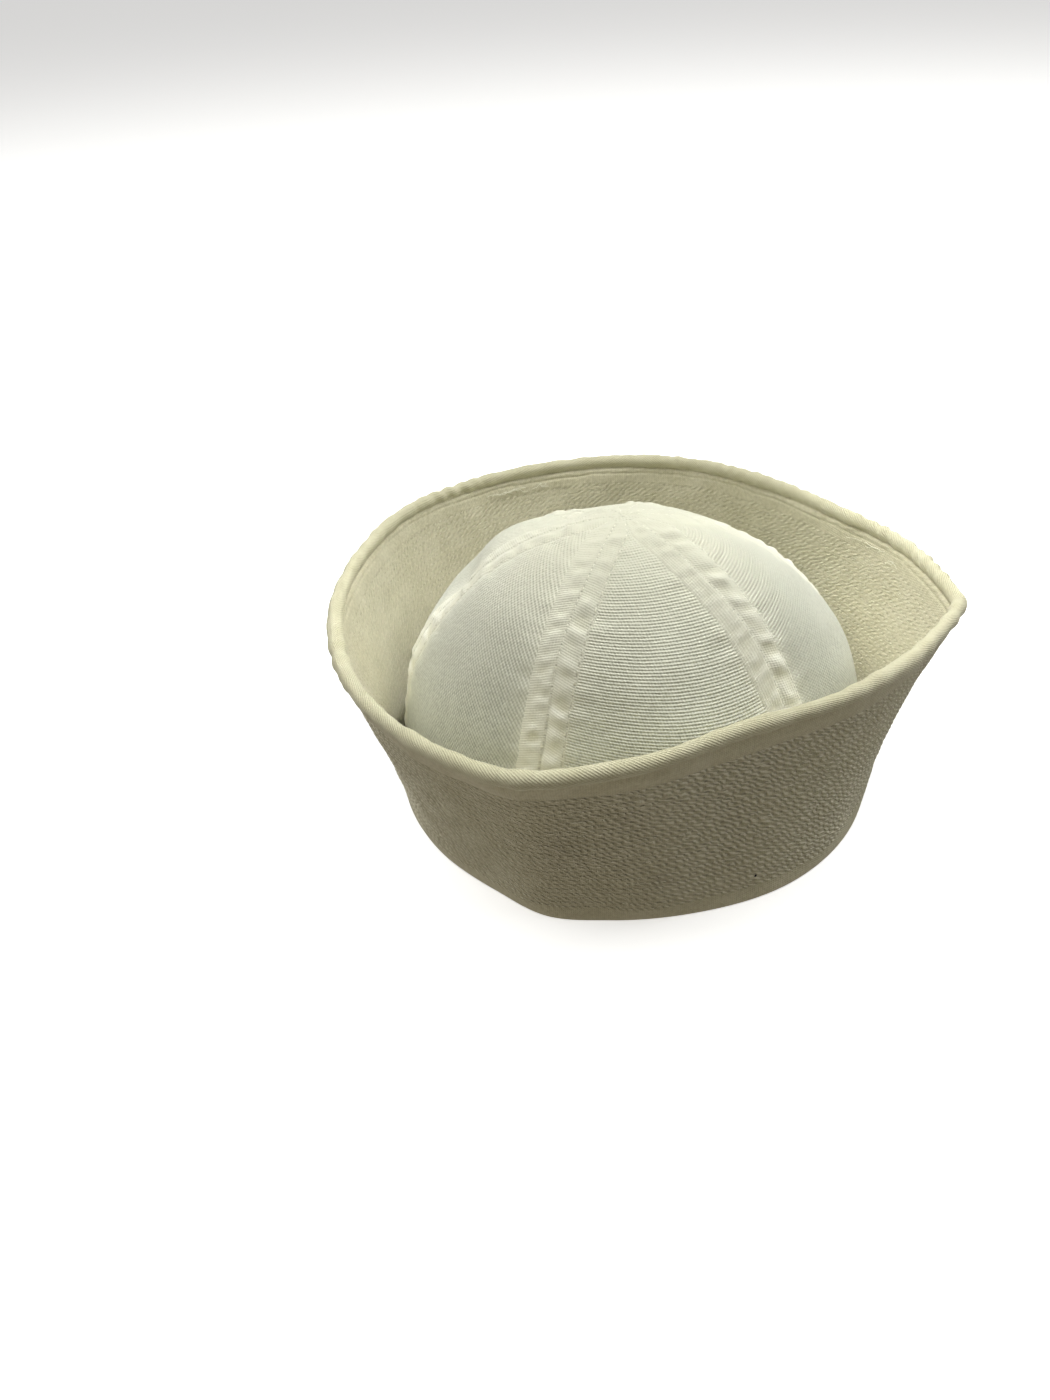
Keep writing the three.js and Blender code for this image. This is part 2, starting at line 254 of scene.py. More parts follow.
def new_piece(name, points, quads, uv, material, relief=None):
    """Mesh object from points in millimetres, quads and a corner map in millimetres"""
    place = in_frame(points)
    quads = quads.reshape(-1, 4)
    mesh = bpy.data.meshes.new(name)
    mesh.vertices.add(len(place))
    mesh.vertices.foreach_set("co", place.astype(np.float32).ravel())
    mesh.loops.add(quads.size)
    mesh.loops.foreach_set("vertex_index", quads.astype(np.int32).ravel())
    mesh.polygons.add(len(quads))
    mesh.polygons.foreach_set("loop_start", np.arange(0, quads.size, 4, dtype=np.int32))
    mesh.polygons.foreach_set("use_smooth", np.ones(len(quads), bool))
    mesh.update(calc_edges=True)
    layer = mesh.uv_layers.new(name="cloth")
    layer.data.foreach_set("uv", uv.reshape(-1, 2).astype(np.float32).ravel())
    if relief is not None:
        attribute = mesh.attributes.new("relief", "FLOAT", "POINT")
        attribute.data.foreach_set("value", relief.astype(np.float32).ravel())
    mesh.materials.append(material)
    piece = in_scene(name, mesh)
    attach(piece, "root")
    return piece


def ring_faces(rings, levels, u, v):
    """Quads and corner map of closed sections that run once round; u and v have one value more than those"""
    ring, level = np.meshgrid(np.arange(rings), np.arange(levels), indexing="ij")
    corners = ((0, 0), (1, 0), (1, 1), (0, 1))
    quads = np.stack([(ring + a) % rings * levels + (level + b) % levels for a, b in corners], -1)
    uv = np.stack([np.stack([u[ring + a], v[level + b]], -1) for a, b in corners], -2)
    return quads, uv


def wall_faces(rows, columns, u, v):
    """Quads and corner map of a closed wall: an outer grid, an inner one behind it and their four edges"""
    row, column = np.meshgrid(np.arange(rows - 1), np.arange(columns - 1), indexing="ij")
    a = row * columns + column
    corners = np.stack([a, a + 1, a + columns + 1, a + columns], -1).reshape(-1, 4)
    half = rows * columns
    left = np.arange(rows - 1) * columns
    right = left + columns - 1
    low = np.arange(columns - 1)
    high = low + (rows - 1) * columns
    rims = [
        np.stack([left + columns, left, left + half, left + columns + half], -1),
        np.stack([right, right + columns, right + columns + half, right + half], -1),
        np.stack([low, low + half, low + 1 + half, low + 1], -1),
        np.stack([high + 1, high, high + half, high + 1 + half], -1),
    ]
    quads = np.concatenate([corners, corners[:, ::-1] + half, *rims])
    flat = np.stack([u.ravel(), v.ravel()], -1)
    flat = np.concatenate([flat, flat])
    return quads, flat[quads]


def row_part(distance):
    """1 within the stitched part of the brim, fading to 0 in the plain margins"""
    margin, fade = 1, 0.6
    below = np.exp(-(distance - ROW_FIRST + margin) / fade)
    above = np.exp((distance - ROW_LAST - margin) / fade)
    return 1 / (1 + below) / (1 + above)


def quilting(azimuth, distance):
    """Relief of the stitched rows: the cloth dips along each row and puckers between the stitches"""
    length, count = brim_lengths(azimuth)
    place = (distance - ROW_FIRST) / ROW_PITCH
    row = np.round(place)
    phase = length / STITCH_PITCH + row_stagger(row) + row_drift(length, row, count * STITCH_PITCH)
    pucker = np.cos(math.tau * (phase + PUCKER_SLANT * (place - row)))
    ridge = 1 - np.cos(math.tau * place)
    return row_part(distance) * (QUILT_DEPTH * (ridge - 2) + QUILT_DEPTH * pucker)


def brim_waves(points, distance, broad_seed, fine_seed):
    """Soft waves in the brim's cloth, and how free it is of its sewn edges, from 0 to 1"""
    broad = soft_noise(points, wavelength=42, seed=broad_seed)
    fine = soft_noise(points, wavelength=12, seed=fine_seed)
    free = np.clip(distance / 6, 0, 1) * np.clip((BRIM_HEIGHT - distance) / 5, 0, 1)
    return 0.4 * broad + 0.12 * fine, free


def brim_outside_relief(azimuth, distance):
    """Relief of the outer face: soft waves, the step at the hem's edge and the stitched rows"""
    points = strip_point(azimuth, distance, 0)
    waves, free = brim_waves(points, distance, 11, 12)
    over_hem = distance - HEM_EDGE - 0.4 * soft_noise(points, wavelength=14, seed=13)
    hem = 0.3 / (1 + np.exp(-over_hem / 0.25))
    return waves * free + hem * free + quilting(azimuth, distance)


def brim_inside_relief(azimuth, distance):
    """Relief of the inner face: soft waves, the tuck and ditch, gathers between them and the stitched rows"""
    points = strip_point(azimuth, distance, -BRIM_THICKNESS)
    waves, free = brim_waves(points, distance, 14, 15)
    wander = 0.2 * soft_noise(points, wavelength=16, seed=16)
    tuck = -0.35 * np.exp(-((distance - TUCK - wander) / 0.45) ** 2)
    ditch = -0.75 * np.exp(-((distance - DITCH) / 0.65) ** 2)
    length, _ = brim_lengths(azimuth)
    gathers = 0.16 * np.sin(length / 0.9 + 2.2 * distance + 2 * soft_noise(points, wavelength=20, seed=17))
    gathers = gathers * np.exp(-(distance - (TUCK + DITCH) / 2) ** 2)
    return waves * free + tuck + ditch + gathers + quilting(azimuth, distance)


def make_brim(outside, inside):
    """The turned-up strip as two layers of cloth that lie on each other"""
    rings = 740
    azimuth = np.arange(rings) * 360 / rings
    azimuth_grid = azimuth[:, None]
    u, count = brim_lengths(np.arange(rings + 1) * 360 / rings)
    top = BRIM_HEIGHT - UNDER_BEAD
    stitched, upper = 98, 28
    levels = np.linspace(FOLD_RADIUS, ROW_LAST, stitched)[:-1]
    levels = np.concatenate([levels, np.linspace(ROW_LAST, top, upper)])

    fold = np.linspace(0, math.pi / 2, 5)[:-1]
    face = strip_point(azimuth_grid, levels, brim_outside_relief(azimuth_grid, levels))
    fold_out = -FOLD_RADIUS * (1 - np.sin(fold))
    fold_up = FOLD_RADIUS * (1 - np.cos(fold))
    edge = np.stack([placed(azimuth, o, h) for o, h in zip(fold_out, fold_up)], 1)
    hidden = [strip_point(azimuth, d, -BRIM_THICKNESS / 2) for d in (top, BRIM_MIDDLE, FOOT_HEIGHT)]
    back = np.stack([*hidden, placed(azimuth, -BRIM_THICKNESS / 2, 0.0)], 1)
    section = np.concatenate([edge, face, back], 1)
    v = np.concatenate([fold_up - FOLD_RADIUS, levels, [top, BRIM_MIDDLE, 2, 0, -1]])
    quads, uv = ring_faces(rings, section.shape[1], u, v)
    outer = new_piece("brim_outer_cloth", section, quads, uv, outside)

    # The inner layer comes down from the top and stops just over the foot
    levels = levels[::-1][:-2]
    relief = brim_inside_relief(azimuth_grid, levels)
    face = strip_point(azimuth_grid, levels, -BRIM_THICKNESS - relief)
    bulge = around(BASE_BULGE, azimuth)
    foot = [
        placed(azimuth, -FOOT_WIDTH - bulge, FOOT_HEIGHT), placed(azimuth, -FOOT_WIDTH - bulge, 0.0),
        placed(azimuth, -BRIM_THICKNESS / 2, 0.0),
    ]
    section = np.concatenate([face, np.stack([*foot, *hidden[::-1]], 1)], 1)
    v = np.concatenate([levels, [-3, -5, -10, 0, BRIM_MIDDLE, top, top]])
    quads, uv = ring_faces(rings, section.shape[1], u, v)
    inner = new_piece("brim_inner_cloth", section, quads, uv, inside)
    for layer in (outer, inner):
        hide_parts("brim")


# azimuth, spread in degrees and strength of the puckered stretches of the rolled edge
BEAD_WRINKLES = (
    (330, 7, 0.8), (283, 16, 0.25), (262, 9, 0.5), (245, 8, 0.4), (222, 9, 0.6), (208, 6, 0.6),
    (60, 20, 0.15),
)
WRINKLE_PITCH = 6.5
WRINKLE_SLANT = 1.1
WRINKLE_DEPTH = 0.55


def make_bead(material):
    """The rolled edge: a soft tube whose cloth is pulled askew in places"""
    rings, sides = 1200, 22
    azimuth = np.arange(rings) * 360 / rings
    angle = np.arange(sides) * math.tau / sides
    out, up, _ = strip_at(azimuth, BRIM_HEIGHT)
    middle = placed(azimuth, out, up)
    steps = np.linalg.norm(np.roll(middle, -1, axis=0) - middle, axis=-1)
    u = np.concatenate([[0], np.cumsum(steps)])
    strength = np.zeros(rings)
    for centre, spread, amount in BEAD_WRINKLES:
        offset = np.mod(azimuth - centre + 180, 360) - 180
        strength += amount * np.exp(-((offset / spread) ** 2))
    slant = u[:-1, None] / WRINKLE_PITCH * math.tau + WRINKLE_SLANT * angle[None, :]
    slant = slant + 1.4 * soft_noise(middle, wavelength=22, seed=31)[:, None]
    wrinkle = strength[:, None] * (np.sin(slant) - 0.4)
    small = soft_noise(middle, wavelength=9, seed=32)[:, None]
    broad = soft_noise(middle, wavelength=45, seed=33)[:, None]
    lumps = 0.14 * small + 0.12 * broad
    radius = BEAD_RADIUS + WRINKLE_DEPTH * wrinkle + lumps
    reach, height = out[:, None] + radius * np.cos(angle), up[:, None] + radius * np.sin(angle)
    section = placed(azimuth[:, None], reach, height)
    v = np.arange(sides + 1) * math.tau * BEAD_RADIUS / sides
    quads, uv = ring_faces(rings, sides, u, v)
    bead = new_piece("rim_roll", section, quads, uv, material, wrinkle)
    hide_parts("rim_binding")


# Small waves in a gore beside its seams: their lengths and height, and where they are strongest
RIPPLE_LENGTHS = (7.5, 10.5, 16.0)
RIPPLE_HEIGHT = 0.13
RIPPLE_PLACE, RIPPLE_SPREAD = 9, 4


def seam_side_ripple(distance_from_seam, along, seed):
    """Small waves in the gore beside a seam, dying out away from it"""
    rng = np.random.default_rng(seed)
    waves = sum(
        np.sin(math.tau * along / length + rng.uniform(0, math.tau)) for length in RIPPLE_LENGTHS
    )
    return RIPPLE_HEIGHT * waves * np.exp(-np.abs(distance_from_seam - RIPPLE_PLACE) / RIPPLE_SPREAD)


# Direction of the weave in each gore, in degrees off its middle line
GORE_GRAIN = (42, 3, -14, 20, 0, 30)
# How light each gore's cloth is: partly its own tone, partly painted sheen and light for how each gore's
# weave faces the lamps
GORE_TONE_AND_PAINTED_SHEEN = (0.90, 1.15, 0.88, 0.96, 1.0, 0.94)
# How close to the apex the gores climb, how deep they lie under the seam bands, and over what distance the
# lighter tone of the doubled cloth fades beside them
GORE_TOP = 0.9995
GORE_SUNK = 0.2
DOUBLED_FADE = 3.2


def make_gore(index, material):
    """One pointed panel of the crown between two seams"""
    rows, columns = 130, 44
    seam = SEAM_AZIMUTHS[index]
    next_seam = SEAM_AZIMUTHS[(index + 1) % 6] + (360 if index == 5 else 0)
    climb = np.linspace(0, GORE_TOP, rows)[:, None]
    azimuth = np.linspace(seam, next_seam, columns)[None, :]
    face = crown_face(azimuth, climb)
    normal = grid_normals(face)
    along = lengths_along(face[:, columns // 2])
    across = np.linalg.norm(np.diff(face, axis=1), axis=-1)
    across = np.concatenate([np.zeros((rows, 1)), np.cumsum(across, axis=1)], 1)
    width = across[:, -1:]
    relief = seam_side_ripple(across, along[:, None], 40 + index)
    relief = relief + seam_side_ripple(width - across, along[:, None], 50 + index)
    relief = relief + 0.08 * soft_noise(face, wavelength=13, seed=62)
    relief = relief * np.clip(along[:, None] / 15, 0, 1)
    beside = np.minimum(across, width - across)
    clear = np.maximum(np.clip((beside - 4.5) / 4, 0, 1), np.clip((climb - 0.96) / 0.02, 0, 1))
    relief = relief * clear - GORE_SUNK * (1 - clear)
    outer = face + normal * relief[..., None]
    inner = face - normal * CROWN_THICKNESS
    turn = math.radians(GORE_GRAIN[index])
    x, y = across - width / 2, np.broadcast_to(along[:, None], across.shape)
    u = x * math.cos(turn) - y * math.sin(turn)
    v = x * math.sin(turn) + y * math.cos(turn)
    quads, uv = wall_faces(rows, columns, u, v)
    points = np.concatenate([outer.reshape(-1, 3), inner.reshape(-1, 3)])
    doubled = np.exp(-np.maximum(beside - SEAM_HALF_WIDTH, 0) / DOUBLED_FADE)
    doubled = np.tile(doubled.ravel(), 2)
    name = f"crown_panel_{index + 1}"
    panel = new_piece(name, points, quads, uv, material, doubled)
    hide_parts(f"crown_gore_{index + 1}")


def lobe_waves(along, lengths, rng):
    """Uneven waves along a seam, made of a few wavelengths that speed up and slow down"""
    total = 0
    for length, share in lengths:
        bend = 0.8 * np.sin(along / 17 + rng.uniform(0, 6))
        total = total + share * np.sin(math.tau * along / length + bend + rng.uniform(0, math.tau))
    return total


# wavelength and share of the puckers in a seam's puffed lobe and in its flatter lap
PILLOW_WAVES = ((8.7, 0.9), (12.5, 0.6), (5.4, 0.35))
LAP_WAVES = ((7.6, 0.9), (4.6, 0.5))
# Where up the crown a seam band starts and ends
SEAM_START, SEAM_END = 0.045, 0.986
# Heights of the lobe, the lap and their edges over the gores, and depth of the join between them
PILLOW_HEIGHT, LAP_HEIGHT, EDGE_HEIGHT = 0.46, 0.42, 0.04
JOIN_DEPTH = 0.25
# How deep the edges and the top end of a seam band go under the gores
SEAM_SUNK = 0.35


def make_seam(index, material):
    """One felled seam: a puffed lobe held down by topstitching, the join, and a flatter lap beside it"""
    rows, columns = 190, 29
    seam = SEAM_AZIMUTHS[index]
    climb = np.linspace(SEAM_START, SEAM_END, rows)
    centre = crown_face(seam, climb)
    along = lengths_along(centre)
    apex = crown_face(0.0, 1.0)
    radius = np.hypot(centre[:, 0] - apex[0], centre[:, 1] - apex[1])
    half = np.minimum(SEAM_HALF_WIDTH, 0.54 * radius + 0.4)[:, None]
    rng = np.random.default_rng(70 + index)
    wander = 0.4 * np.sin(along / 9 + rng.uniform(0, 6))[:, None]
    side = np.linspace(-1, 1, columns)[None, :]
    across = side * half + wander * (1 - side ** 2)
    azimuth = seam + np.degrees(across / np.maximum(radius[:, None], 0.5))
    face = crown_face(azimuth, np.broadcast_to(climb[:, None], azimuth.shape))
    normal = grid_normals(face)
    lobe = np.abs(side)
    pillow = np.sin(math.pi * np.clip(side / 0.9, 0, 1))
    lap = np.clip(1 - lobe, 0, 1) ** 0.8
    body = np.where(side > 0, EDGE_HEIGHT + PILLOW_HEIGHT * pillow, EDGE_HEIGHT + LAP_HEIGHT * lap)
    body = body - JOIN_DEPTH * np.exp(-(side / 0.06) ** 2)
    leaning = along[:, None] + 2.2 * side
    pucker = 0.32 * lobe_waves(leaning, PILLOW_WAVES, rng)
    pucker = (pucker + 0.17 * soft_noise(face, wavelength=6.5, seed=80 + index)) * pillow
    slant = along[:, None] + 2.5 * lobe
    lap_pucker = 0.20 * lobe_waves(slant, LAP_WAVES, rng)
    lap_pucker = lap_pucker + 0.14 * soft_noise(face, wavelength=6, seed=86 + index)
    soft = np.sin(math.pi * np.clip(lobe / 0.85, 0, 1))
    pucker = pucker + np.where(side < 0, lap_pucker * soft, 0)
    narrow = np.clip(half / SEAM_HALF_WIDTH, 0.2, 1)
    edge_under, end_under = (lobe - 0.92) / 0.08, (climb[:, None] - 0.965) / 0.02
    under = np.maximum(np.clip(edge_under, 0, 1), np.clip(end_under, 0, 1))
    relief = np.maximum((body + pucker) * narrow, 0.03)
    relief = relief * (1 - under) - SEAM_SUNK * under
    outer = face + normal * relief[..., None]
    inner = face - normal * 0.5
    u = side * half
    v = np.broadcast_to(along[:, None], across.shape)
    quads, uv = wall_faces(rows, columns, u, v)
    points = np.concatenate([outer.reshape(-1, 3), inner.reshape(-1, 3)])
    # The puckers' relief, which the seam's cloth turns into painted shade and painted highlight
    raised = np.concatenate([pucker.ravel() / 0.5, np.zeros(pucker.size)])
    band = new_piece(f"crown_seam_{index + 1}", points, quads, uv, material, raised)
    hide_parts(f"crown_seam_band_{index + 1}")
    return outer, normal, along


# Length, width and height of the stitches of the brim and of the seams, and how far they stand off the cloth
BRIM_STITCH = (1.9, 0.42, 0.22)
SEAM_STITCH = (1.3, 0.3, 0.10)
STITCH_LIFT = 0.02
# Distance from stitch to stitch along a seam's join and along the edge of its lobe
JOIN_PITCH, EDGE_PITCH = 2.3, 3.3
# Corners of one stitch: a tip, two rings of three points and a tip; along, across and above
STITCH_SHAPE = np.array([
    (-1, 0, 0), (-0.6, -1, 0), (-0.6, 0, 1), (-0.6, 1, 0), (0.6, -1, 0), (0.6, 0, 1), (0.6, 1, 0), (1, 0, 0),
])
STITCH_FACES = (
    (0, 2, 1), (0, 3, 2), (0, 1, 3), (1, 2, 5, 4), (2, 3, 6, 5), (3, 1, 4, 6),
    (7, 4, 5), (7, 5, 6), (7, 6, 4),
)


def stitch_piece(name, centres, along, normals, length, width, height, material, slot):
    """Many short stitches as one mesh"""
    across = np.cross(normals, along)
    axes = np.stack([along * length / 2, across * width / 2, normals * height], 1)
    points = centres[:, None, :] + STITCH_SHAPE @ axes
    corners = len(STITCH_SHAPE)
    starts = range(0, len(centres) * corners, corners)
    faces = [[start + corner for corner in face] for start in starts for face in STITCH_FACES]
    mesh = bpy.data.meshes.new(name)
    mesh.from_pydata(in_frame(points).tolist(), [], faces)
    mesh.polygons.foreach_set("use_smooth", np.ones(len(mesh.polygons), bool))
    mesh.materials.append(material)
    piece = in_scene(name, mesh)
    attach(piece, "root")


def make_brim_stitches(name, side, relief, seed, material):
    """Rows of stitches round the brim; side is 1 on the outer face and -1 on the inner one"""
    rng = np.random.default_rng(seed)
    lengths, count = brim_lengths(DENSE_AZIMUTHS)
    total = count * STITCH_PITCH
    azimuths, distances = [], []
    for row in range(ROW_COUNT):
        start = (np.arange(count) - row_stagger(row)) * STITCH_PITCH
        place = start
        for _ in range(3):
            place = start - row_drift(place, row, total) * STITCH_PITCH
        place = np.mod(place + rng.normal(0, 0.1, count), total)
        azimuths.append(np.interp(place, lengths, DENSE_AZIMUTHS))
        distances.append(ROW_FIRST + ROW_PITCH * row + rng.normal(0, 0.07, count))
    azimuth, distance = np.concatenate(azimuths), np.concatenate(distances)
    offset = 0 if side > 0 else -BRIM_THICKNESS
    lift = side * (relief(azimuth, distance) + STITCH_LIFT)
    centre = strip_point(azimuth, distance, offset + lift)
    ahead = strip_point(azimuth + 0.4, distance - 0.22, offset + lift)
    above = strip_point(azimuth, distance + 0.5, offset + lift)
    along = unit(ahead - centre)
    normal = unit(np.cross(along, above - centre)) * side
    stitch_piece(name, centre, along, normal, *BRIM_STITCH, material, "brim_cloth")


def make_seam_stitches(seams, material):
    """Topstitching along the join and the lobe's edge of every crown seam"""
    centres, alongs, normals = [], [], []
    for index, (outer, normal, along) in enumerate(seams):
        rng = np.random.default_rng(90 + index)
        columns = outer.shape[1]
        for column, pitch in ((columns // 2, JOIN_PITCH), (columns - 3, EDGE_PITCH)):
            spots = np.arange(2, along[-1] - 4, pitch)
            spots = spots + rng.normal(0, 0.1, len(spots))
            row = np.clip(np.searchsorted(along, spots), 1, len(along) - 2)
            centres.append(outer[row, column] + normal[row, column] * STITCH_LIFT)
            alongs.append(unit(outer[row + 1, column] - outer[row - 1, column]))
            normals.append(normal[row, column])
    parts = [np.concatenate(part) for part in (centres, alongs, normals)]
    stitch_piece("crown_seam_stitches", *parts, *SEAM_STITCH, material, "seam_cloth")


# Where frayed ends hang from the hem: azimuth, height up the brim and how many
THREAD_PLACES = ((223.0, 70.0, 5), (217.0, 68.5, 3), (317.0, 69.0, 6), (311.0, 69.3, 4))
THREAD_RADIUS = 0.11
MM_PER_DEGREE = 1.9


def make_threads(material):
    """Frayed ends that hang from the hem inside the brim"""
    rng = np.random.default_rng(5)
    points, faces = [], []
    sides, steps = 5, 9
    angle = np.arange(sides) * math.tau / sides
    cosines, sines = np.cos(angle)[None, :, None], np.sin(angle)[None, :, None]
    run = np.linspace(0, 1, steps)
    for azimuth, distance, count in THREAD_PLACES:
        for _ in range(count):
            start = azimuth + rng.uniform(-3, 3)
            length = rng.uniform(3, 8)
            path_azimuth = start + run * length / MM_PER_DEGREE * rng.choice([-1, 1])
            path_azimuth = path_azimuth + 0.4 * np.sin(run * 5 + rng.uniform(0, 6))
            path_distance = distance - run * rng.uniform(0.2, 2.2)
            path_distance = path_distance + 0.3 * np.sin(run * 7 + rng.uniform(0, 6))
            lift = 0.25 + 0.5 * np.sin(run * math.pi) * rng.uniform(0.2, 1.0)
            path = strip_point(path_azimuth, path_distance, -BRIM_THICKNESS - lift)
            tangent = unit(np.gradient(path, axis=0))
            side = unit(np.cross(tangent, [0, 0, 1.0]))
            other = np.cross(tangent, side)
            ring = THREAD_RADIUS * (cosines * side[:, None] + sines * other[:, None])
            first = len(points) * sides
            points.extend(path[:, None] + ring)
            for step in range(steps - 1):
                for corner in range(sides):
                    over = (corner + 1) % sides
                    low = first + step * sides
                    faces.append([low + corner, low + over, low + sides + over, low + sides + corner])
            faces.append([first + c for c in range(sides)][::-1])
            faces.append([first + (steps - 1) * sides + c for c in range(sides)])
    mesh = bpy.data.meshes.new("loose_threads")
    mesh.from_pydata(in_frame(np.array(points)).tolist(), [], faces)
    mesh.materials.append(material)
    piece = in_scene("loose_threads", mesh)
    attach(piece, "root")


def shade(red, green, blue, tone=1.0):
    """Colour of a shader's socket, made lighter or darker by its tone"""
    return (red * tone, green * tone, blue * tone, 1.0)


def feed(tree, socket, value):
    """Sets a socket to a value, or links it where the value is itself a socket"""
    if isinstance(value, bpy.types.NodeSocket):
        tree.links.new(value, socket)
    else:
        socket.default_value = value


def add_node(tree, kind, *inputs, operation=None):
    """New node with its first sockets fed"""
    node = tree.nodes.new(kind)
    if operation:
        node.operation = operation
    for socket, value in zip(node.inputs, inputs):
        feed(tree, socket, value)
    return node


class Cloth:
    """Builds one procedural cloth material, node by node"""

    def __init__(self, name):
        self.material = bpy.data.materials.new(name)
        self.material.use_nodes = True
        self.tree = self.material.node_tree
        self.shader = self.tree.nodes["Principled BSDF"]
        uv = self.add("ShaderNodeUVMap")
        uv.uv_map = "cloth"
        parts = self.add("ShaderNodeSeparateXYZ", uv.outputs[0])
        self.u, self.v = parts.outputs[0], parts.outputs[1]
        self.place = self.add("ShaderNodeTexCoord").outputs["Object"]

    def add(self, kind, *inputs):
        return add_node(self.tree, kind, *inputs)

    def feed(self, socket, value):
        feed(self.tree, socket, value)

    def math(self, operation, *inputs):
        return add_node(self.tree, "ShaderNodeMath", *inputs, operation=operation).outputs[0]

    def bell(self, value):
        """1 where the value is 0, falling off to either side of it"""
        return self.math("EXPONENT", self.math("MULTIPLY", self.math("MULTIPLY", value, value), -1.0))

    def noise(self, size, detail=2.0):
        """Noise of about this grain size in millimetres"""
        node = self.add("ShaderNodeTexNoise")
        self.feed(node.inputs["Vector"], self.place)
        self.feed(node.inputs["Scale"], 1 / (size * MM))
        self.feed(node.inputs["Detail"], detail)
        return node.outputs["Fac"]

    def wobble(self, size, amount, detail=2.0):
        """Noise that strays by up to this amount to either side of 0"""
        return self.ramp(self.noise(size, detail), 0, 1, -amount, amount)

    def mottle(self, size, low, high, detail=2.0):
        """Noise spread out between two values"""
        return self.ramp(self.noise(size, detail), 0.3, 0.7, low, high)

    def wave(self, across, along, wobble=None):
        """Sine of a direction in the cloth; across and along are periods in millimetres, or 0 for none"""
        phase = None
        for coordinate, period in ((self.u, across), (self.v, along)):
            if period:
                turn = self.math("MULTIPLY", coordinate, math.tau / period)
                phase = turn if phase is None else self.math("ADD", phase, turn)
        if wobble is not None:
            phase = self.math("ADD", phase, wobble)
        return self.math("SINE", phase)

    def ramp(self, value, low, high, start=0.0, end=1.0):
        node = self.add("ShaderNodeMapRange", value, low, high, start, end)
        return node.outputs[0]

    def mix(self, factor, first, second):
        """Colour between the first, at factor 0, and the second, at factor 1"""
        node = self.add("ShaderNodeMix", factor)
        node.data_type = "RGBA"
        self.feed(node.inputs[6], first)
        self.feed(node.inputs[7], second)
        return node.outputs[2]

    def mix_part(self, factor, share, first, second):
        """The same with the factor cut down to a share of it"""
        return self.mix(self.math("MULTIPLY", factor, share), first, second)

    def relief(self):
        """What the mesh carries as relief at this point"""
        node = self.add("ShaderNodeAttribute")
        node.attribute_name = "relief"
        return node.outputs["Fac"]

    def finish(self, colour, height, depth, roughness, sheen=0.15):
        """The material with this colour and a bump from the height, whose depth is in millimetres"""
        bump = self.add("ShaderNodeBump")
        self.feed(bump.inputs["Strength"], 1.0)
        self.feed(bump.inputs["Distance"], depth * MM)
        self.feed(bump.inputs["Height"], height)
        sockets = self.shader.inputs
        self.feed(sockets["Normal"], bump.outputs[0])
        self.feed(sockets["Base Color"], colour)
        self.feed(sockets["Roughness"], roughness)
        sockets["Specular IOR Level"].default_value = 0.25
        sockets["Sheen Weight"].default_value = sheen
        sockets["Sheen Roughness"].default_value = 0.5
        return self.material


# Darker, a little yellower colour painted over the top of the crown as shade
APEX_PAINTED_SHADE = shade(0.55, 0.55, 0.435)
# Heights in millimetres between which the crown's cloth takes on that painted shade
PAINTED_SHADE_FROM, PAINTED_SHADE_FULL = 66, 110


def apex_painted_shade(cloth, base):
    """Painted shade: darkens the cloth, and makes it a little yellower, towards the top of the crown"""
    height = cloth.add("ShaderNodeSeparateXYZ", cloth.place).outputs[2]
    return cloth.mix(cloth.ramp(height, PAINTED_SHADE_FROM * MM, PAINTED_SHADE_FULL * MM, 0.0, 0.95), base, APEX_PAINTED_SHADE)


def crown_material(name, colour, shadow, bright, doubled):
    """White cotton drill: a fine rib crossed by thicker threads, creamier where it is doubled at the seams"""
    cloth = Cloth(name)
    wobble = cloth.wobble(9.0, 1.2)
    rib = cloth.wave(0, 1.08, wobble)
    thread = cloth.wave(1.1, 3.8, wobble)
    weave = cloth.math("MULTIPLY_ADD", rib, 0.85, cloth.math("MULTIPLY", thread, 0.35))
    slub = cloth.mottle(1.3, -0.6, 0.6, detail=1.0)
    height = cloth.math("ADD", weave, slub)
    tone = cloth.ramp(height, -1.3, 0.6)
    base = cloth.mix(tone, shadow, colour)
    patch = cloth.ramp(cloth.noise(16.0, 3.0), 0.42, 0.68)
    base = cloth.mix_part(patch, 0.35, base, bright)
    base = cloth.mix_part(cloth.relief(), 0.85, base, doubled)
    # Painted shade towards the top of the crown
    base = apex_painted_shade(cloth, base)
    return cloth.finish(base, height, 0.09, cloth.mottle(5.0, 0.82, 0.95))


def needle_holes(cloth, place, pitch, width):
    """Small pits in a line along a seam"""
    beside = cloth.math("DIVIDE", cloth.math("SUBTRACT", cloth.u, place), width)
    dot = cloth.ramp(cloth.wave(0, pitch), 0.3, 1.0)
    return cloth.math("MULTIPLY", cloth.bell(beside), dot)


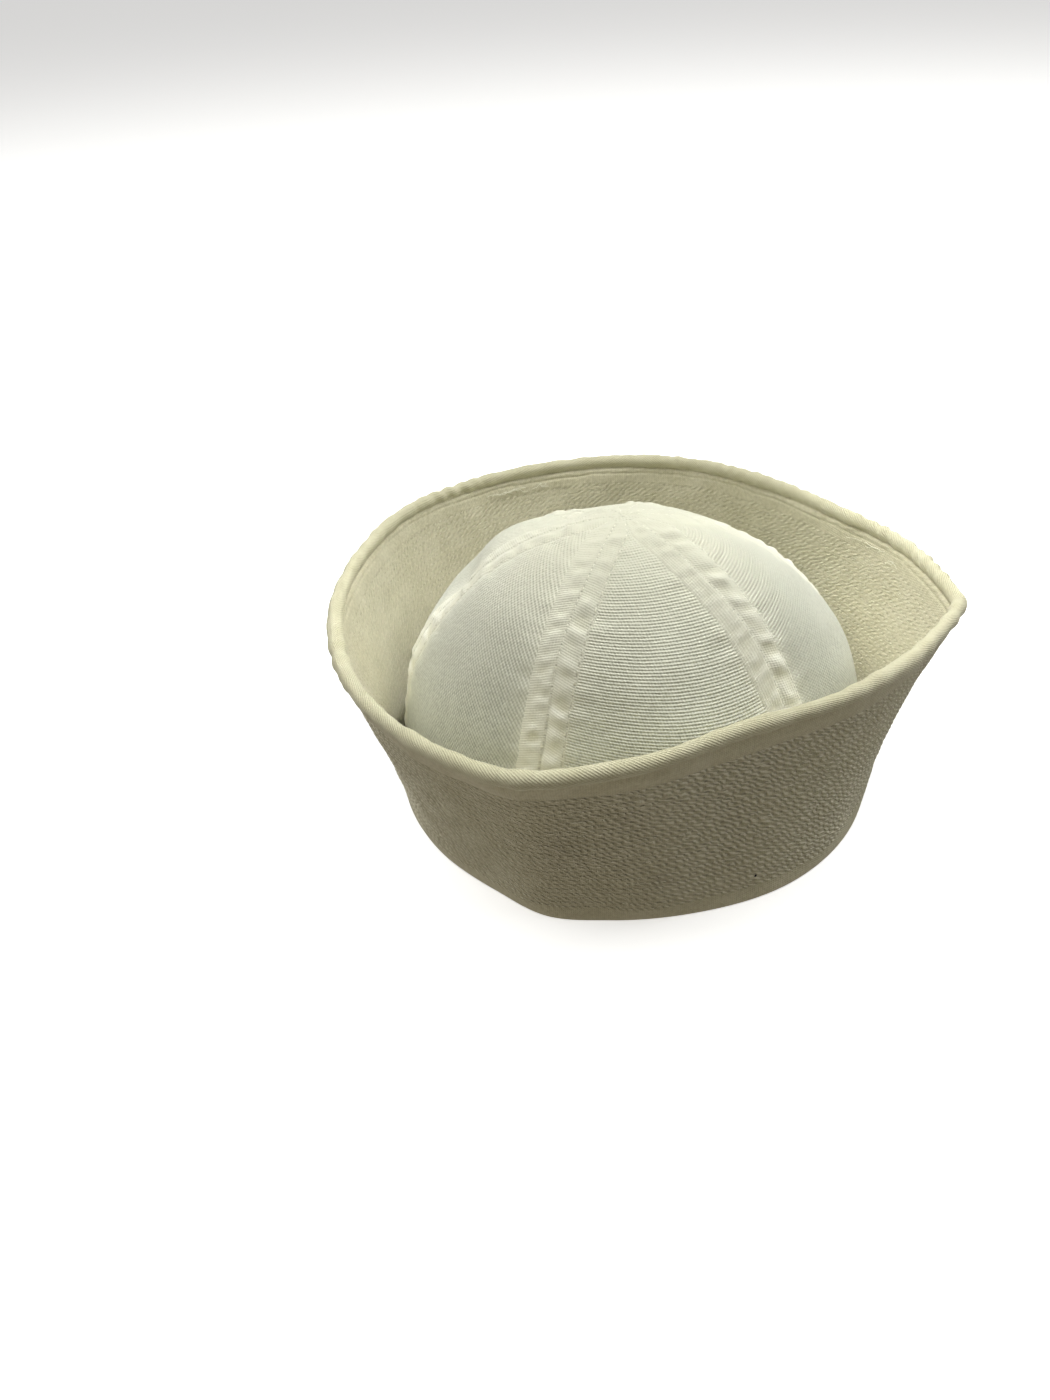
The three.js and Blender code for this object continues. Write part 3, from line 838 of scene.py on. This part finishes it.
def seam_material(name, colour, shadow, bright, hole):
    """The doubled cloth of the seams, creamier, with fine ribs that run out from the join"""
    cloth = Cloth(name)
    wobble = cloth.wobble(6.0, 1.5)
    skew = cloth.math("MULTIPLY", cloth.math("ABSOLUTE", cloth.u), math.tau / 2.2)
    rib = cloth.wave(0, 0.85, cloth.math("ADD", wobble, skew))
    cross = cloth.wave(0.9, 0, wobble)
    height = cloth.math("MULTIPLY_ADD", cross, 0.3, cloth.math("MULTIPLY", rib, 0.5))
    height = cloth.math("ADD", height, cloth.mottle(0.9, -0.4, 0.4, detail=1.0))
    # Painted shade in the dimples of the puckers and painted highlight on their crests
    raised = cloth.ramp(cloth.relief(), -0.9, 0.3)
    base = cloth.mix(raised, shadow, bright)
    tone = cloth.ramp(height, -1.1, 0.9, 0.0, 0.4)
    base = cloth.mix(tone, base, colour)
    join = needle_holes(cloth, 0.0, JOIN_PITCH, 0.26)
    edge = needle_holes(cloth, SEAM_HALF_WIDTH * 0.86, EDGE_PITCH, 0.24)
    holes = cloth.math("MAXIMUM", join, cloth.math("MULTIPLY", edge, 0.8))
    # Painted shade towards the top of the crown
    base = apex_painted_shade(cloth, base)
    base = cloth.mix_part(holes, 0.45, base, hole)
    height = cloth.math("SUBTRACT", height, cloth.math("MULTIPLY", holes, 3.0))
    return cloth.finish(base, height, 0.06, cloth.mottle(5.0, 0.8, 0.95))


# Where the stitching of the brim is tightest, how far along the cloth that reaches and how much it adds
TIGHT_AZIMUTH = 132.0
TIGHT_REACH = 42.0
TIGHTNESS = 0.5


def stitched_puckers(cloth):
    """Slanted puckers between the stitches of the rows, from -1 to 1, and the pits at their ends"""
    total = brim_lengths(0.0)[1] * STITCH_PITCH
    place = cloth.math("DIVIDE", cloth.math("SUBTRACT", cloth.v, ROW_FIRST), ROW_PITCH)
    row = cloth.math("ROUND", place)
    beside = cloth.math("SUBTRACT", place, row)
    stagger = cloth.math("SINE", cloth.math("MULTIPLY", row, STAGGER_TURN))
    stagger = cloth.math("MULTIPLY_ADD", row, STAGGER_STEP, cloth.math("MULTIPLY", stagger, STAGGER_SWING))
    drift = cloth.wobble(4.0, 0.9, detail=1.0)
    for waves, size, turn in ROW_DRIFTS:
        along = cloth.math("MULTIPLY", cloth.u, 2 * waves * math.pi / total)
        swing = cloth.math("SINE", cloth.math("MULTIPLY_ADD", row, turn, along))
        drift = cloth.math("MULTIPLY_ADD", swing, size, drift)
    phase = cloth.math("MULTIPLY_ADD", cloth.u, 1 / STITCH_PITCH, cloth.math("ADD", stagger, drift))
    slanted = cloth.math("MULTIPLY_ADD", beside, PUCKER_SLANT, phase)
    pucker = cloth.math("COSINE", cloth.math("MULTIPLY", slanted, math.tau))
    window = cloth.math("MULTIPLY_ADD", cloth.math("MULTIPLY", beside, beside), -2.8, 1.0)
    low = cloth.ramp(cloth.v, ROW_FIRST - 2.5, ROW_FIRST + 0.5)
    high = cloth.ramp(cloth.v, ROW_LAST + 2.2, ROW_LAST - 0.2)
    strength = cloth.ramp(cloth.noise(55.0, 1.0), 0.38, 0.62, 0.35, 0.75)
    middle = float(brim_lengths(TIGHT_AZIMUTH)[0])
    away = cloth.math("DIVIDE", cloth.math("SUBTRACT", cloth.u, middle), TIGHT_REACH)
    strength = cloth.math("MULTIPLY_ADD", cloth.bell(away), TIGHTNESS, strength)
    inside = cloth.math("MULTIPLY", cloth.math("MULTIPLY", low, high), strength)
    pucker = cloth.math("MULTIPLY", cloth.math("MULTIPLY", pucker, window), inside)
    end = cloth.math("COSINE", cloth.math("MULTIPLY", phase, math.tau))
    end = cloth.ramp(end, -0.55, -1.0)
    near_row = cloth.ramp(cloth.math("ABSOLUTE", beside), 0.24, 0.05)
    pit = cloth.math("MULTIPLY", cloth.math("MULTIPLY", end, near_row), inside)
    return pucker, pit


def spot(cloth, azimuth, distance, size):
    """1 at a place on the brim, fading out at about this radius"""
    along = float(brim_lengths(azimuth)[0])
    across = cloth.math("SUBTRACT", cloth.u, along)
    up = cloth.math("SUBTRACT", cloth.v, distance)
    square = cloth.math("MULTIPLY_ADD", across, across, cloth.math("MULTIPLY", up, up))
    return cloth.math("EXPONENT", cloth.math("MULTIPLY", square, -1 / size ** 2))


# azimuth, height up the brim, radius and strength of the faint marks on the outer face
BRIM_MARKS = (
    (116.2, 20.7, 2.6, 0.30), (118.5, 19.0, 1.6, 0.25), (109.8, 52.4, 3.5, 0.16), (98.0, 40.0, 9.0, 0.14),
)
# the one dark speck
BRIM_SPECK = (138.0, 11.0, 0.55)
SPECK_SHADE = shade(0.01, 0.01, 0.01)
# Painted shade on the brim's cloth where it sinks between its puckers and into the pits of the stitches
SUNK_PAINTED_SHADE = shade(0.30, 0.28, 0.17)
PIT_PAINTED_SHADE = shade(0.22, 0.20, 0.12)


def brim_material(name, colour, shadow, bright, crest_highlight, quilt, stain=None):
    """Stitched twill, a little aged: fine diagonal lines, mottling and a few faint marks, with painted
    highlight on the crests of its puckers and painted shade between them and in their pits; quilt from 0 to 1
    is how clearly the rows of stitching and their painted light stand out"""
    cloth = Cloth(name)
    wobble = cloth.wobble(7.0, 2.0)
    twill = cloth.wave(0.9, 0.9, wobble)
    cross = cloth.wave(0.75, 0, wobble)
    weave = cloth.math("MULTIPLY_ADD", cross, 0.4, cloth.math("MULTIPLY", twill, 0.5))
    fine = cloth.math("ADD", weave, cloth.mottle(1.3, -1.0, 1.0))
    pucker, pit = stitched_puckers(cloth)
    height = cloth.math("MULTIPLY_ADD", pucker, quilt, cloth.math("MULTIPLY", fine, 0.25))
    height = cloth.math("SUBTRACT", height, cloth.math("MULTIPLY", pit, 0.7 * quilt))
    tone = cloth.ramp(fine, -1.4, 1.2)
    base = cloth.mix(tone, shadow, colour)
    patch = cloth.ramp(cloth.noise(11.0, 4.0), 0.45, 0.7)
    base = cloth.mix_part(patch, 0.3, base, bright)
    # Painted highlight on the crests of the puckers
    raised = cloth.ramp(pucker, 0.3, 0.85, 0.0, 0.9 * quilt)
    base = cloth.mix(raised, base, crest_highlight)
    # Painted shade where the cloth sinks between the puckers, and in their pits
    sunk = cloth.ramp(pucker, 0.1, -0.8, 0.0, 0.42 * quilt)
    base = cloth.mix(sunk, base, SUNK_PAINTED_SHADE)
    base = cloth.mix_part(pit, 0.4 * quilt, base, PIT_PAINTED_SHADE)
    if stain:
        for azimuth, distance, size, amount in BRIM_MARKS:
            base = cloth.mix_part(spot(cloth, azimuth, distance, size), amount, base, stain)
        speck = cloth.ramp(spot(cloth, *BRIM_SPECK), 0.3, 0.5)
        base = cloth.mix(speck, base, SPECK_SHADE)
    return cloth.finish(base, height, 0.30, cloth.mottle(4.0, 0.84, 0.96))


# How many slanted cords of the twill lie round the rolled edge
CORDS_ROUND_BEAD = 19


def bead_material(name, colour, shadow, bright):
    """Twill wound round the edge: slanted cords, darker between them"""
    cloth = Cloth(name)
    wobble = cloth.wobble(8.0, 1.0)
    cord = cloth.wave(1.3, math.tau * BEAD_RADIUS / CORDS_ROUND_BEAD, wobble)
    fine = cloth.wave(0.5, 0, wobble)
    height = cloth.math("MULTIPLY_ADD", fine, 0.2, cord)
    height = cloth.math("ADD", height, cloth.mottle(0.8, -0.4, 0.4, detail=1.0))
    tone = cloth.ramp(height, -1.3, 0.6)
    base = cloth.mix(tone, shadow, colour)
    patch = cloth.ramp(cloth.noise(10.0, 3.0), 0.42, 0.65)
    base = cloth.mix_part(patch, 0.4, base, bright)
    return cloth.finish(base, height, 0.08, cloth.mottle(4.0, 0.8, 0.92), sheen=0.2)


def thread_material(name, colour, shadow):
    """Sewing thread, a little uneven in colour"""
    cloth = Cloth(name)
    grain = cloth.noise(0.5, 1.0)
    base = cloth.mix(cloth.ramp(grain, 0.3, 0.7), shadow, colour)
    roughness = cloth.ramp(grain, 0.3, 0.7, 0.75, 0.9)
    return cloth.finish(base, grain, 0.05, roughness, sheen=0.2)


cream = shade(0.85, 0.855, 0.72)
# Seam colours: the cloth, painted shade in the pucker dimples, painted highlight on their crests, the needle
# holes
seam_cloth = seam_material(
    "seam_cloth", shade(0.90, 0.905, 0.77), shade(0.78, 0.77, 0.60), shade(0.94, 0.94, 0.82),
    shade(0.25, 0.24, 0.16),
)
# Brim colours: cloth, weave shadow, mottle, painted highlight on the pucker crests; then how clearly the
# quilting shows
brim_outer = brim_material(
    "brim_outer_cloth", shade(0.66, 0.625, 0.445), shade(0.50, 0.47, 0.315), shade(0.72, 0.69, 0.52),
    shade(0.88, 0.85, 0.69), 1.0, stain=shade(0.24, 0.19, 0.13),
)
brim_inner = brim_material(
    "brim_inner_cloth", shade(0.62, 0.59, 0.43), shade(0.46, 0.435, 0.29), shade(0.68, 0.65, 0.50),
    shade(0.74, 0.71, 0.57), 0.4,
)
bead_cloth = bead_material(
    "bead_cloth", shade(0.64, 0.62, 0.43), shade(0.47, 0.44, 0.28), shade(0.69, 0.67, 0.49),
)
brim_thread = thread_material("brim_thread", shade(0.88, 0.85, 0.69), shade(0.74, 0.71, 0.54))
inner_thread = thread_material("inner_thread", shade(0.68, 0.65, 0.50), shade(0.58, 0.55, 0.40))
seam_thread = thread_material("seam_thread", shade(0.82, 0.82, 0.70), shade(0.72, 0.71, 0.57))

make_brim(brim_outer, brim_inner)
make_bead(bead_cloth)
# Each gore's colours, scaled by its own tone and its painted sheen
for index, tone in enumerate(GORE_TONE_AND_PAINTED_SHEEN):
    shades = shade(0.75, 0.77, 0.66, tone), shade(0.46, 0.47, 0.385, tone), shade(0.77, 0.79, 0.68, tone)
    make_gore(index, crown_material(f"crown_cloth_{index + 1}", *shades, cream))
seams = [make_seam(index, seam_cloth) for index in range(6)]
make_brim_stitches("brim_outer_stitches", 1, brim_outside_relief, 101, brim_thread)
make_brim_stitches("brim_inner_stitches", -1, brim_inside_relief, 102, inner_thread)
make_seam_stitches(seams, seam_thread)
make_threads(seam_thread)

# Camera, from the photo's perspective: its direction, tilt and distance to the middle of the base
CAMERA_ELEVATION = 39.02
CAMERA_TURN = 19.66
CAMERA_ROLL = 0.43
CAMERA_DISTANCE = 459.66
FOCAL_PIXELS = 1120.0
FRAME_WIDTH, FRAME_HEIGHT = 1050, 1400
BASE_PIXEL = (629.22, 747.98)
SENSOR = 36.0

# Level directions as seen in the photo
TURN = math.radians(CAMERA_TURN)
AWAY = Vector((math.sin(TURN), -math.cos(TURN), 0))
RIGHT = Vector((-math.cos(TURN), -math.sin(TURN), 0))


def make_camera():
    elevation, roll = math.radians(CAMERA_ELEVATION), math.radians(CAMERA_ROLL)
    back = Vector((
        -math.sin(TURN) * math.cos(elevation), math.cos(TURN) * math.cos(elevation), math.sin(elevation),
    ))
    right = (-back).cross(Vector((0, 0, 1))).normalized()
    up = right.cross(-back)
    tilted_right = right * math.cos(roll) + up * math.sin(roll)
    tilted_up = up * math.cos(roll) - right * math.sin(roll)
    axes = Matrix((tilted_right, tilted_up, -back))
    across = (BASE_PIXEL[0] - FRAME_WIDTH / 2) / FOCAL_PIXELS
    down = (BASE_PIXEL[1] - FRAME_HEIGHT / 2) / FOCAL_PIXELS
    aim = Vector((across, -down, 1)).normalized()
    swing = Vector((0, 0, 1)).rotation_difference(aim).to_matrix()
    axes = swing @ axes
    data = bpy.data.cameras.new("photo_camera")
    data.sensor_width = SENSOR
    data.lens = FOCAL_PIXELS / FRAME_HEIGHT * SENSOR
    camera = in_scene("photo_camera", data)
    right, up, ahead = axes
    camera.matrix_world = Matrix((right, up, -ahead)).transposed().to_4x4()
    centre = Vector((*BASE_CENTRE, 0))
    camera.location = (centre + back * CAMERA_DISTANCE) * MM
    data.clip_start = 0.01
    bpy.context.scene.camera = camera


# Soft boxes: how far right of and beyond the cap they stand as seen, elevation in degrees and power
LIGHTS = (
    ("left_box", -1, 0.15, 61, 15.5),
    ("right_box", 1, 0.9, 60, 17.0),
    ("right_low_box", 1, 0, 45, 6.5),
)
BOX_DISTANCE = 1.6
BOX_SIZE = 0.9
BOX_COLOUR = (1.0, 1.0, 0.98)
# Soft beams over the crown to the inside of the brim: name, where it aims in millimetres, the azimuth and
# elevation it comes from, its cone in degrees and power
BEAMS = (
    ("beam_to_tip", (-86.0, -42.0, 28.0), 27.0, 71.0, 3.9, 145.0),
    ("beam_to_left", (84.0, 42.0, 34.0), 214.0, 71.0, 4.4, 75.0),
)
BEAM_DISTANCE = 1.2
BEAM_RADIUS = 0.06
# Dim surround as seen from the cap, on its left, on the near side and below: which way, and its colour
SURROUND = (
    (-RIGHT, (0.32, 0.30, 0.27)), (-AWAY, (0.305, 0.275, 0.225)), ((0, 0, -1), (0.525, 0.472, 0.408)),
)
FLOOR_REACH, FLOOR_GLOW = 6.0, 0.6
BACKDROP_REACH, BACKDROP_HEIGHT, BACKDROP_GLOW = 5.5, 9.0, 0.62


def place_light(light, place, direction):
    """Puts a light at a place, shining against this direction"""
    light.location = place
    light.rotation_euler = direction.to_track_quat("Z", "Y").to_euler()


def make_box(name, across, along, elevation, power):
    """A soft box that faces the cap"""
    data = bpy.data.lights.new(name, "AREA")
    data.size = BOX_SIZE
    data.energy = power
    data.color = BOX_COLOUR
    flat = (RIGHT * across + AWAY * along).normalized()
    elevation = math.radians(elevation)
    direction = (flat * math.cos(elevation) + Vector((0, 0, math.sin(elevation)))).normalized()
    place_light(in_scene(name, data), direction * BOX_DISTANCE, direction)


def make_beam(name, aim, azimuth, elevation, cone, power):
    """A narrow, soft-edged beam to one place"""
    data = bpy.data.lights.new(name, "SPOT")
    data.energy = power
    data.spot_size = math.radians(cone)
    data.spot_blend = 1.0
    data.shadow_soft_size = BEAM_RADIUS
    azimuth, elevation = math.radians(azimuth), math.radians(elevation)
    direction = Vector((
        math.cos(azimuth) * math.cos(elevation), math.sin(azimuth) * math.cos(elevation), math.sin(elevation),
    ))
    target = (Vector(aim) + Vector((*BASE_CENTRE, 0))) * MM
    place_light(in_scene(name, data), target + direction * BEAM_DISTANCE, direction)


def paper_piece(name, points, faces, colour, glow, specular=0.5):
    """A piece of dull, faintly glowing paper that sheds no light on the cap"""
    material = bpy.data.materials.new(f"{name}_paper")
    material.use_nodes = True
    surface = material.node_tree.nodes["Principled BSDF"]
    surface.inputs["Base Color"].default_value = colour
    surface.inputs["Roughness"].default_value = 0.9
    surface.inputs["Emission Color"].default_value = shade(1.0, 1.0, 1.0)
    surface.inputs["Emission Strength"].default_value = glow
    surface.inputs["Specular IOR Level"].default_value = specular
    mesh = bpy.data.meshes.new(name)
    mesh.from_pydata(points, [], faces)
    mesh.materials.append(material)
    piece = in_scene(name, mesh)
    piece.visible_diffuse = False
    return piece


def make_floor():
    """A pale floor that the cap stands on"""
    reach = FLOOR_REACH
    points = [(-reach, -reach, 0), (reach, -reach, 0), (reach, reach, 0), (-reach, reach, 0)]
    floor = paper_piece("floor", points, [(0, 1, 2, 3)], shade(0.86, 0.86, 0.85), FLOOR_GLOW, specular=0.1)


def make_backdrop():
    """A pale round wall far behind the cap on every side, which takes no part in the lighting"""
    sides = 64
    points = []
    for side in range(sides):
        turn = math.tau * side / sides
        x, y = BACKDROP_REACH * math.cos(turn), BACKDROP_REACH * math.sin(turn)
        points += [(x, y, 0.0), (x, y, BACKDROP_HEIGHT)]
    faces = [(2 * s, 2 * s + 1, (2 * s + 3) % (2 * sides), (2 * s + 2) % (2 * sides)) for s in range(sides)]
    backdrop = paper_piece("backdrop", points, faces, shade(0.3, 0.3, 0.3), BACKDROP_GLOW)
    backdrop.visible_glossy = False
    backdrop.visible_shadow = False


def make_surround():
    """A world of soft lobes of light, one from each way in the table"""
    world = bpy.context.scene.world or bpy.data.worlds.new("surround")
    bpy.context.scene.world = world
    world.use_nodes = True
    tree = world.node_tree
    direction = add_node(tree, "ShaderNodeTexCoord").outputs["Generated"]
    total = (0.0, 0.0, 0.0)
    for axis, colour in SURROUND:
        facing = add_node(tree, "ShaderNodeVectorMath", direction, axis, operation="DOT_PRODUCT")
        lobe = add_node(tree, "ShaderNodeMath", facing.outputs["Value"], 0, operation="MAXIMUM")
        squared = add_node(tree, "ShaderNodeMath", lobe.outputs[0], 2, operation="POWER")
        tint = add_node(tree, "ShaderNodeVectorMath", colour, operation="SCALE")
        feed(tree, tint.inputs["Scale"], squared.outputs[0])
        total = add_node(tree, "ShaderNodeVectorMath", total, tint.outputs[0], operation="ADD").outputs[0]
    background = tree.nodes["Background"]
    feed(tree, background.inputs["Color"], total)
    feed(tree, background.inputs["Strength"], 1.0)


make_camera()
make_floor()
make_backdrop()
for box in LIGHTS:
    make_box(*box)
for beam in BEAMS:
    make_beam(*beam)
make_surround()
bpy.context.scene.view_settings.view_transform = "Standard"
